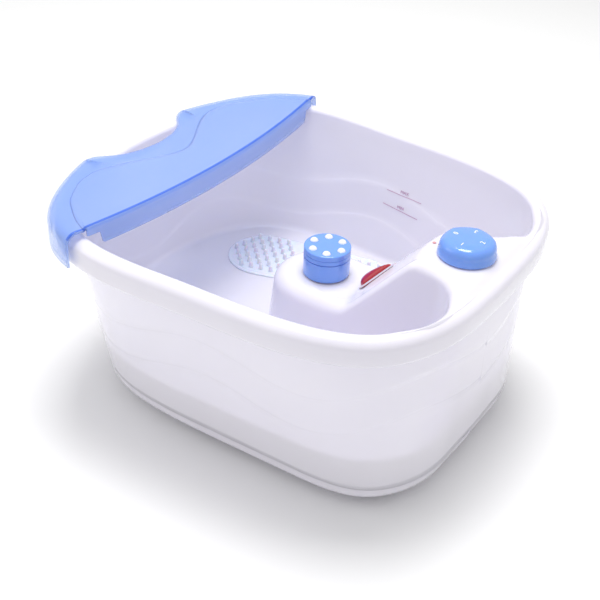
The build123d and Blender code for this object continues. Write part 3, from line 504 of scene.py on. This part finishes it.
# ---- splash guard -------------------------------------------------------------------------
# Clear light-blue shell that snaps over the rim at the end away from the dial.  A raised field
# runs along the rolled edge and the hand notch, and a skirt hangs down inside the basin.
GUARD_WALL = 2.2
EDGE_X, EDGE_BOW = -87.0, 0.00059
GUARD_COLUMNS = 260
ROOF_LOW, ROOF_RISE = 192.8, 3.7
RIM_ROLL, NOTCH_ROLL = 8.5, 2.5
EDGE_ROLL = 1.6
INNER_TOP = 196.9
FIELD_SINK = 0.4


def rounded_path(points, bell):
    """Evenly spaced line through the corners, smoothed by a bell-weighted running mean of width bell
    millimetres; the ends are carried on straight so that they stay in place."""
    p = np.asarray(points, float)
    way = np.concatenate([[0], np.cumsum(np.linalg.norm(np.diff(p, axis=0), axis=1))])
    even = np.arange(0, way[-1], 0.5)
    line = np.stack([np.interp(even, way, p[:, k]) for k in (0, 1)], 1)
    reach = int(6 * bell)
    weight = np.exp(-0.5 * (np.arange(-reach, reach + 1) * 0.5 / bell) ** 2)
    weight /= weight.sum()
    ahead = 2 * line[-1] - line[-2:-reach - 2:-1]
    back = 2 * line[0] - line[reach:0:-1]
    long = np.concatenate([back, line, ahead])
    return np.stack([np.convolve(long[:, k], weight, "valid") for k in (0, 1)], 1)


def both_halves(near_half):
    """A path from its near half, which ends on the middle line."""
    near_half = np.asarray(near_half, float)
    return np.concatenate([near_half, (near_half * [1, -1])[-2::-1]])


def inward(line):
    """Unit vectors square to an open line, towards its right."""
    along = np.gradient(line, axis=0)
    along /= np.linalg.norm(along, axis=1)[:, None]
    return np.stack([along[:, 1], -along[:, 0]], 1)


def trimmed(line):
    """The part of a line on the guard's side of its bowed inner edge, at the guard's columns."""
    over = line[:, 0] - (EDGE_X - EDGE_BOW * line[:, 1] ** 2)
    kept = np.where(over < 0)[0]
    first = kept[0] - over[kept[0]] / (over[kept[0]] - over[kept[0] - 1])
    where = np.linspace(first, len(line) - 1 - first, GUARD_COLUMNS)
    return np.stack([np.interp(where, np.arange(len(line)), line[:, k]) for k in (0, 1)], 1)


rim_part = closed_curve(moved_in(mirrored(RIM), -4), np.linspace(11.9, 9.62, 160))
notch = [(-188, -57), (-180, -49), (-171.5, -38), (-165.5, -22), (-162.5, 0)]
border = rounded_path(both_halves(np.concatenate([rim_part, notch])), 2.4)
field = rounded_path(both_halves([(-80, -176), (-120, -156), (-148, -134), (-166, -104), (-169, -80),
                                  (-162, -62), (-152, -43), (-142, -27), (-134, -12), (-131, 0)]), 6)
border_in, field_in = inward(border), inward(field)
in_notch = smooth_step(66, 58, np.abs(border[:, 1])) * (border[:, 0] < -150)
roll = RIM_ROLL - (RIM_ROLL - NOTCH_ROLL) * in_notch


def roof(x):
    """Height of the guard's roof: level over the rim, rising to the inner edge."""
    return ROOF_LOW + ROOF_RISE * np.clip((x + 175) / 88, 0, 1)


share = np.linspace(0, 1, GUARD_COLUMNS)
border_roll = np.interp(share, np.linspace(0, 1, len(roll)), roll)
border_notch = np.interp(share, np.linspace(0, 1, len(roll)), in_notch)
edge_row = trimmed(border)
skirt_top = roof(edge_row[:, 0] + border_roll) - border_roll
skirt_low = blend_to(168.2, skirt_top - 2.2, border_notch)
guard_rows = [ring(edge_row, blend_to(skirt_low, skirt_top, t)) for t in (0, 0.3, 0.65, 1)]
for a in np.radians(np.linspace(10, 90, 9)):
    line = trimmed(border + border_in * (roll * (1 - np.cos(a)))[:, None])
    guard_rows.append(ring(line, skirt_top + border_roll * np.sin(a)))
roll_end = guard_rows[-1]
field_row, field_top = trimmed(field), trimmed(field + field_in * 2.2)
for t in np.linspace(0, 1, 8)[1:]:
    line = blend_to(roll_end[:, :2], field_row, t)
    guard_rows.append(ring(line, blend_to(roll_end[:, 2], roof(field_row[:, 0]) - FIELD_SINK, t)))
for t, rise in ((0.3, 0.25), (0.6, 0.85), (1, 1.1)):
    guard_rows.append(ring(blend_to(field_row, field_top, t), roof(field_row[:, 0]) - FIELD_SINK + rise))
bow = np.stack([EDGE_X - EDGE_BOW * field_top[:, 1] ** 2, field_top[:, 1]], 1)
bow_out = -inward(bow)
bow_out *= np.sign(bow_out[:, :1])
start_height = guard_rows[-2][:, 2]
for t in np.linspace(0, 1, 12)[1:]:
    line = blend_to(field_top, bow - EDGE_ROLL * bow_out, t)
    guard_rows.append(ring(line, blend_to(start_height, INNER_TOP, t)))
skirt_end = blend_to(180.2, 191.6, smooth_step(147, 150, np.abs(bow[:, 1])))
for a in np.radians([30, 60, 90]):
    line = bow - EDGE_ROLL * (1 - np.sin(a)) * bow_out
    guard_rows.append(ring(line, INNER_TOP - EDGE_ROLL * (1 - np.cos(a))))
for t in (0.35, 0.7, 1):
    guard_rows.append(ring(bow, blend_to(INNER_TOP - EDGE_ROLL, skirt_end, t)))
guard_rows = np.array(guard_rows)
guard = new_piece("splash_guard_shell", guard_rows.reshape(-1, 3),
                  grid_faces(len(guard_rows), GUARD_COLUMNS, False))
weld(guard)
shell = guard.modifiers.new("wall", "SOLIDIFY")
shell.thickness = GUARD_WALL * MM
shell.offset = -1
shell.use_rim = True


blue_clear = moulded_plastic("clear_blue_styrene", (0.34, 0.52, 1.0), (0.30, 0.49, 1.0), 0.06, 30, 0.01,
                             Transmission_Weight=0.3, IOR=1.3, Coat_Weight=0.3, Coat_Roughness=0.04,
                             Alpha=0.58)


# Half width and lowest height of the band of painted shade along the guard's rolled inner edge.
BAND_HALF = 1.3
BAND_LOW = 193.5


def darker_edge(material, shade_tint):
    """Painted shade: a deeper tint, also less see-through, where one looks along the wall at the rolled
    inner edge, in a narrow band that follows the edge's bow."""
    add = node_maker(material)
    shader = material.node_tree.nodes["Principled BSDF"]
    place = add("ShaderNodeSeparateXYZ", {"Vector": add("ShaderNodeTexCoord").outputs["Object"]}).outputs

    def worked_out(kind, *values):
        return add("ShaderNodeMath", dict(enumerate(values)), operation=kind).outputs[0]

    bow_here = worked_out("MULTIPLY", worked_out("MULTIPLY", place["Y"], place["Y"]), -1000 * EDGE_BOW)
    from_bow = worked_out("SUBTRACT", place["X"], bow_here)
    gap = worked_out("ABSOLUTE", worked_out("SUBTRACT", from_bow, (EDGE_X - 1.4) * MM))
    near_edge = worked_out("LESS_THAN", gap, BAND_HALF * MM)
    shade_band = worked_out("MULTIPLY", near_edge, worked_out("GREATER_THAN", place["Z"], BAND_LOW * MM))
    tint = shader.inputs["Base Color"].links[0].from_socket
    mix = add("ShaderNodeMix", data_type="RGBA")
    colour_in = [s for s in mix.inputs if s.type == "RGBA"]
    material.node_tree.links.new(shade_band, mix.inputs[0])
    material.node_tree.links.new(tint, colour_in[0])
    colour_in[1].default_value = (*shade_tint, 1)
    colour_out = [s for s in mix.outputs if s.type == "RGBA"][0]
    material.node_tree.links.new(colour_out, shader.inputs["Base Color"])
    material.node_tree.links.new(worked_out("MULTIPLY_ADD", shade_band, 0.3, 0.58), shader.inputs["Alpha"])


# Painted shade: a deeper blue, less clear band where one looks along the wall at the inner edge.
darker_edge(blue_clear, (0.05, 0.16, 0.72))
guard.data.materials.append(blue_clear)
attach(guard, "guard")
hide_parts("splash_guard")


# ---- mode dial ----------------------------------------------------------------------------
# Light-blue knob, round at the foot and six-sided on top, pushed on the switch shaft.  The step
# numbers stand up a little from the top and are painted white.
DIAL_X = 159.0
DIAL_FOOT = DECK + 0.8


def six_sided(angle, corner):
    """Radius of a six-sided outline with corners at distance 1, softened."""
    part = np.mod(angle - corner, np.pi / 3) - np.pi / 6
    return 0.22 + 0.78 * np.cos(np.pi / 6) / np.cos(part)


def dial_rows(count=144):
    """Knob as rings: straight foot, a quarter ellipse up to the six-sided top edge, a crowned top."""
    angle = np.linspace(0, 2 * np.pi, count, endpoint=False)
    top_edge = 17.6 * six_sided(angle, np.radians(35))
    rings = [(np.full(count, 21.5), 0.0), (np.full(count, 23.9), 0.0), (np.full(count, 24.3), 0.5)]
    rings += [(24.4 - 0.05 * h - 0.022 * h * h, h) for h in (1.5, 3.0, 4.5, 6.0)]
    for a in np.radians(np.linspace(6, 90, 16)):
        foot = 24.4 - 0.05 * 6 - 0.022 * 36
        rings.append((top_edge + (foot - top_edge) * np.cos(a), 6 + 8.3 * np.sin(a) ** 0.9))
    for t in (0.96, 0.9, 0.75, 0.5, 0.25):
        rings.append((top_edge * t, 14.3 + 0.5 * (1 - t * t) + 0.25 * (t < 0.95)))
    shape = [np.stack([r * np.cos(angle), r * np.sin(angle), np.broadcast_to(z, count)], 1)
             for r, z in rings]
    return np.array(shape) + [DIAL_X, 0, DIAL_FOOT]


knob = dial_rows()
dial = new_piece("dial_cap", knob.reshape(-1, 3), closed_rows(knob))
blue = moulded_plastic("light_blue_plastic", (0.18, 0.36, 0.90), (0.16, 0.335, 0.87), 0.13, 70, 0.01,
                       Coat_Weight=0.6, Coat_Roughness=0.05, Subsurface_Weight=0.1, Subsurface_Scale=0.003)
dial.data.materials.append(blue)
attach(dial, "dial")
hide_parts("dial_knob")


def lettering(name, text, size, thick, matrix, material, body):
    """Raised generic characters as one mesh, placed by a matrix that is applied to the mesh."""
    curve = bpy.data.curves.new(name, "FONT")
    curve.body, curve.size, curve.extrude = text, size * MM, thick * MM / 2
    curve.align_x, curve.align_y, curve.resolution_u = "CENTER", "CENTER", 6
    holder = bpy.data.objects.new(name + "_curve", curve)
    bpy.context.scene.collection.objects.link(holder)
    mesh = bpy.data.meshes.new_from_object(holder.evaluated_get(bpy.context.evaluated_depsgraph_get()))
    bpy.data.objects.remove(holder)
    mesh.transform(matrix)
    mesh.materials.clear()
    mesh.materials.append(material)
    piece = bpy.data.objects.new(name, mesh)
    bpy.context.scene.collection.objects.link(piece)
    weld(piece, 0.000005)
    if body:
        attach(piece, body)
    return piece


white_paint = moulded_plastic("white_paint", (0.93, 0.93, 0.96), (0.88, 0.89, 0.94), 0.3, 80, 0.01)
NUMBER_RADIUS = 12.2
NUMBER_HEIGHT = DIAL_FOOT + 14.75
for step, turn in enumerate((180, 270, 0, 90)):
    way = np.radians(turn)
    middle = (DIAL_X + NUMBER_RADIUS * np.cos(way), NUMBER_RADIUS * np.sin(way), NUMBER_HEIGHT)
    spot = (Matrix.Translation([length * MM for length in middle])
            @ Matrix.Rotation(way + np.pi / 2, 4, "Z"))
    lettering(f"dial_number_{step}", str(step), 6.0, 0.5, spot, white_paint, "dial")


# ---- massage head -------------------------------------------------------------------------
# Blue drum of cup and cap that turns on a post, with six white balls held in its top by a plate.
# The balls roll under the sole.
finish_nodes(blue, "drum_cup", "drum_cap", "ball_retainer", "roller_hub")
ball_white = moulded_plastic("ball_white", (0.92, 0.92, 0.94), (0.87, 0.88, 0.92), 0.16, 80, 0.008,
                             Coat_Weight=0.5, Coat_Roughness=0.05)
finish_nodes(ball_white, *[f"massage_ball_{n}" for n in range(1, 7)])
finish_nodes(pin_milk, "roller_post")


# ---- level marks and pointer ---------------------------------------------------------------
# Two thin printed lines on the far inner wall say how much water to pour in, with their generic
# words, and a small pink dot on the deck points at the dial's numbers.
ink = moulded_plastic("level_ink", (0.55, 0.30, 0.48), (0.50, 0.27, 0.44), 0.5, 80, 0.01)


def onto_wall(piece, name):
    """Pushes a flat piece along +Y until it lies on the tub's inner wall, then gives it a thickness."""
    wrap = piece.modifiers.new("on_wall", "SHRINKWRAP")
    wrap.target, wrap.wrap_method, wrap.use_project_y, wrap.offset = tub, "PROJECT", True, 0.00015
    wrap.use_negative_direction, wrap.use_positive_direction = False, True
    solid = piece.modifiers.new("thickness", "SOLIDIFY")
    solid.thickness, solid.offset = 0.0003, 0
    mesh = bpy.data.meshes.new_from_object(piece.evaluated_get(bpy.context.evaluated_depsgraph_get()))
    placed = bpy.data.objects.new(name, mesh)
    bpy.context.scene.collection.objects.link(placed)
    bpy.data.objects.remove(piece)
    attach(placed, "basin")


def level_mark(name, word, left, right, height, drop):
    """A thin line that falls by drop from left to right, with its word on it."""
    x = np.linspace(left, right, 60)
    z = height - drop * (x - left) / (right - left)
    rows_of_line = [np.column_stack([x, np.full(60, 100.0), z + h]) for h in (-0.25, 0.25)]
    line = new_piece(name + "_flat", np.concatenate(rows_of_line), grid_faces(2, 60, False))
    line.data.materials.append(ink)
    onto_wall(line, name)
    place = (Matrix.Translation(((left + right) / 2 * MM, 0.1, (height + 3.2 - drop / 2) * MM))
             @ Matrix.Rotation(np.pi / 2, 4, "X"))
    text = lettering(name + "_word_flat", word, 4.4, 0, place, ink, None)
    onto_wall(text, name + "_word")


level_mark("level_high", "MAX", 0, 40, 134, 2)
level_mark("level_low", "MIN", -2, 39, 119, 4)
pointer = turned([(1.6, 0), (1.6, 0.25), (1.2, 0.45), (0.5, 0.5)], 32) + [129.5, 0, DECK - 0.05]
pointer_dot = new_piece("dial_pointer", pointer.reshape(-1, 3), closed_rows(pointer))
pink_ink = moulded_plastic("pink_ink", (0.72, 0.33, 0.33), (0.66, 0.3, 0.3), 0.4, 80, 0.01)
pointer_dot.data.materials.append(pink_ink)
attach(pointer_dot, "basin")


# ---- inside works -------------------------------------------------------------------------
# Heater plate, thermostat, vibration motor, lamp, switch, terminals, leads and screws in the dry
# space and the console.  They keep the frame's shapes and get their metals and plastics here.
def metal(name, light, dark, rough, scale=300.0):
    """Bare metal with a drawn grain that varies its gloss."""
    return moulded_plastic(name, light, dark, rough, scale, 0.06, Metallic=1.0)


finish_nodes(metal("zinc_steel", (0.62, 0.62, 0.64), (0.5, 0.5, 0.53), 0.32), "motor_can", "motor_clamp",
             "eccentric_weight", "base_screws", "motor_screws", "motor_shaft", "hub_clip")
finish_nodes(metal("brass_nut", (0.75, 0.62, 0.4), (0.66, 0.54, 0.34), 0.3), "switch_nut")
finish_nodes(metal("aluminium_plate", (0.78, 0.79, 0.8), (0.68, 0.69, 0.71), 0.38), "heating_plate")
finish_nodes(moulded_plastic("thermostat_ceramic", (0.85, 0.8, 0.68), (0.78, 0.73, 0.62), 0.5),
             "thermostat")
finish_nodes(moulded_plastic("lamp_glass", (0.75, 0.25, 0.2), (0.65, 0.2, 0.16), 0.05,
                             Transmission_Weight=0.7), "infrared_lamp")
finish_nodes(moulded_plastic("grey_nylon", (0.42, 0.43, 0.45), (0.36, 0.37, 0.4), 0.45), "lamp_holder",
             "terminal_block", "rotary_switch", "gland_nut", "switch_shaft")
finish_nodes(moulded_plastic("lead_sleeve", (0.72, 0.7, 0.66), (0.62, 0.6, 0.56), 0.5), "switch_lead",
             "heater_lead", "motor_lead")


# ---- floor, lights and world ----------------------------------------------------------------
# Plain pale floor under a large soft box, two weaker ones from the left and the front, and a pale
# surround.
# They belong to the picture and not to the object.
ground = new_piece("ground", [(-4000, -4000, 0), (4000, -4000, 0), (4000, 4000, 0), (-4000, 4000, 0)],
                   [(0, 1, 2, 3)])
paper = bpy.data.materials.new("paper")
paper.use_nodes = True
paper.node_tree.nodes["Principled BSDF"].inputs["Base Color"].default_value = (0.985, 0.985, 0.985, 1)
paper.node_tree.nodes["Principled BSDF"].inputs["Roughness"].default_value = 0.9
ground.data.materials.append(paper)


def soft_box(name, place, aim, size, power):
    """Square area light turned towards a point."""
    data = bpy.data.lights.new(name, "AREA")
    data.size = size
    data.energy = power
    lamp = bpy.data.objects.new(name, data)
    bpy.context.scene.collection.objects.link(lamp)
    lamp.location = place
    from_aim = np.array(place) - np.array(aim)
    side = np.cross([0, 0, 1.0], from_aim)
    side /= np.linalg.norm(side)
    back = from_aim / np.linalg.norm(from_aim)
    matrix = np.eye(4)
    matrix[:3, :4] = np.column_stack([side, np.cross(back, side), back, place])
    lamp.matrix_world = Matrix(matrix.tolist())


soft_box("key_box", (-0.1, 0.15, 1.5), (0, 0, 0.1), 0.7, 16.5)
soft_box("side_box", (-1.3, -0.9, 0.9), (0, 0, 0.1), 0.9, 2.5)
soft_box("front_box", (1.2, -1.4, 0.9), (0, 0, 0.1), 0.8, 0.6)
world = bpy.data.worlds.new("world")
world.use_nodes = True
world.node_tree.nodes["Background"].inputs["Color"].default_value = (1, 1, 1, 1)
world.node_tree.nodes["Background"].inputs["Strength"].default_value = 0.62
bpy.context.scene.world = world
bpy.context.scene.view_settings.view_transform = "Standard"
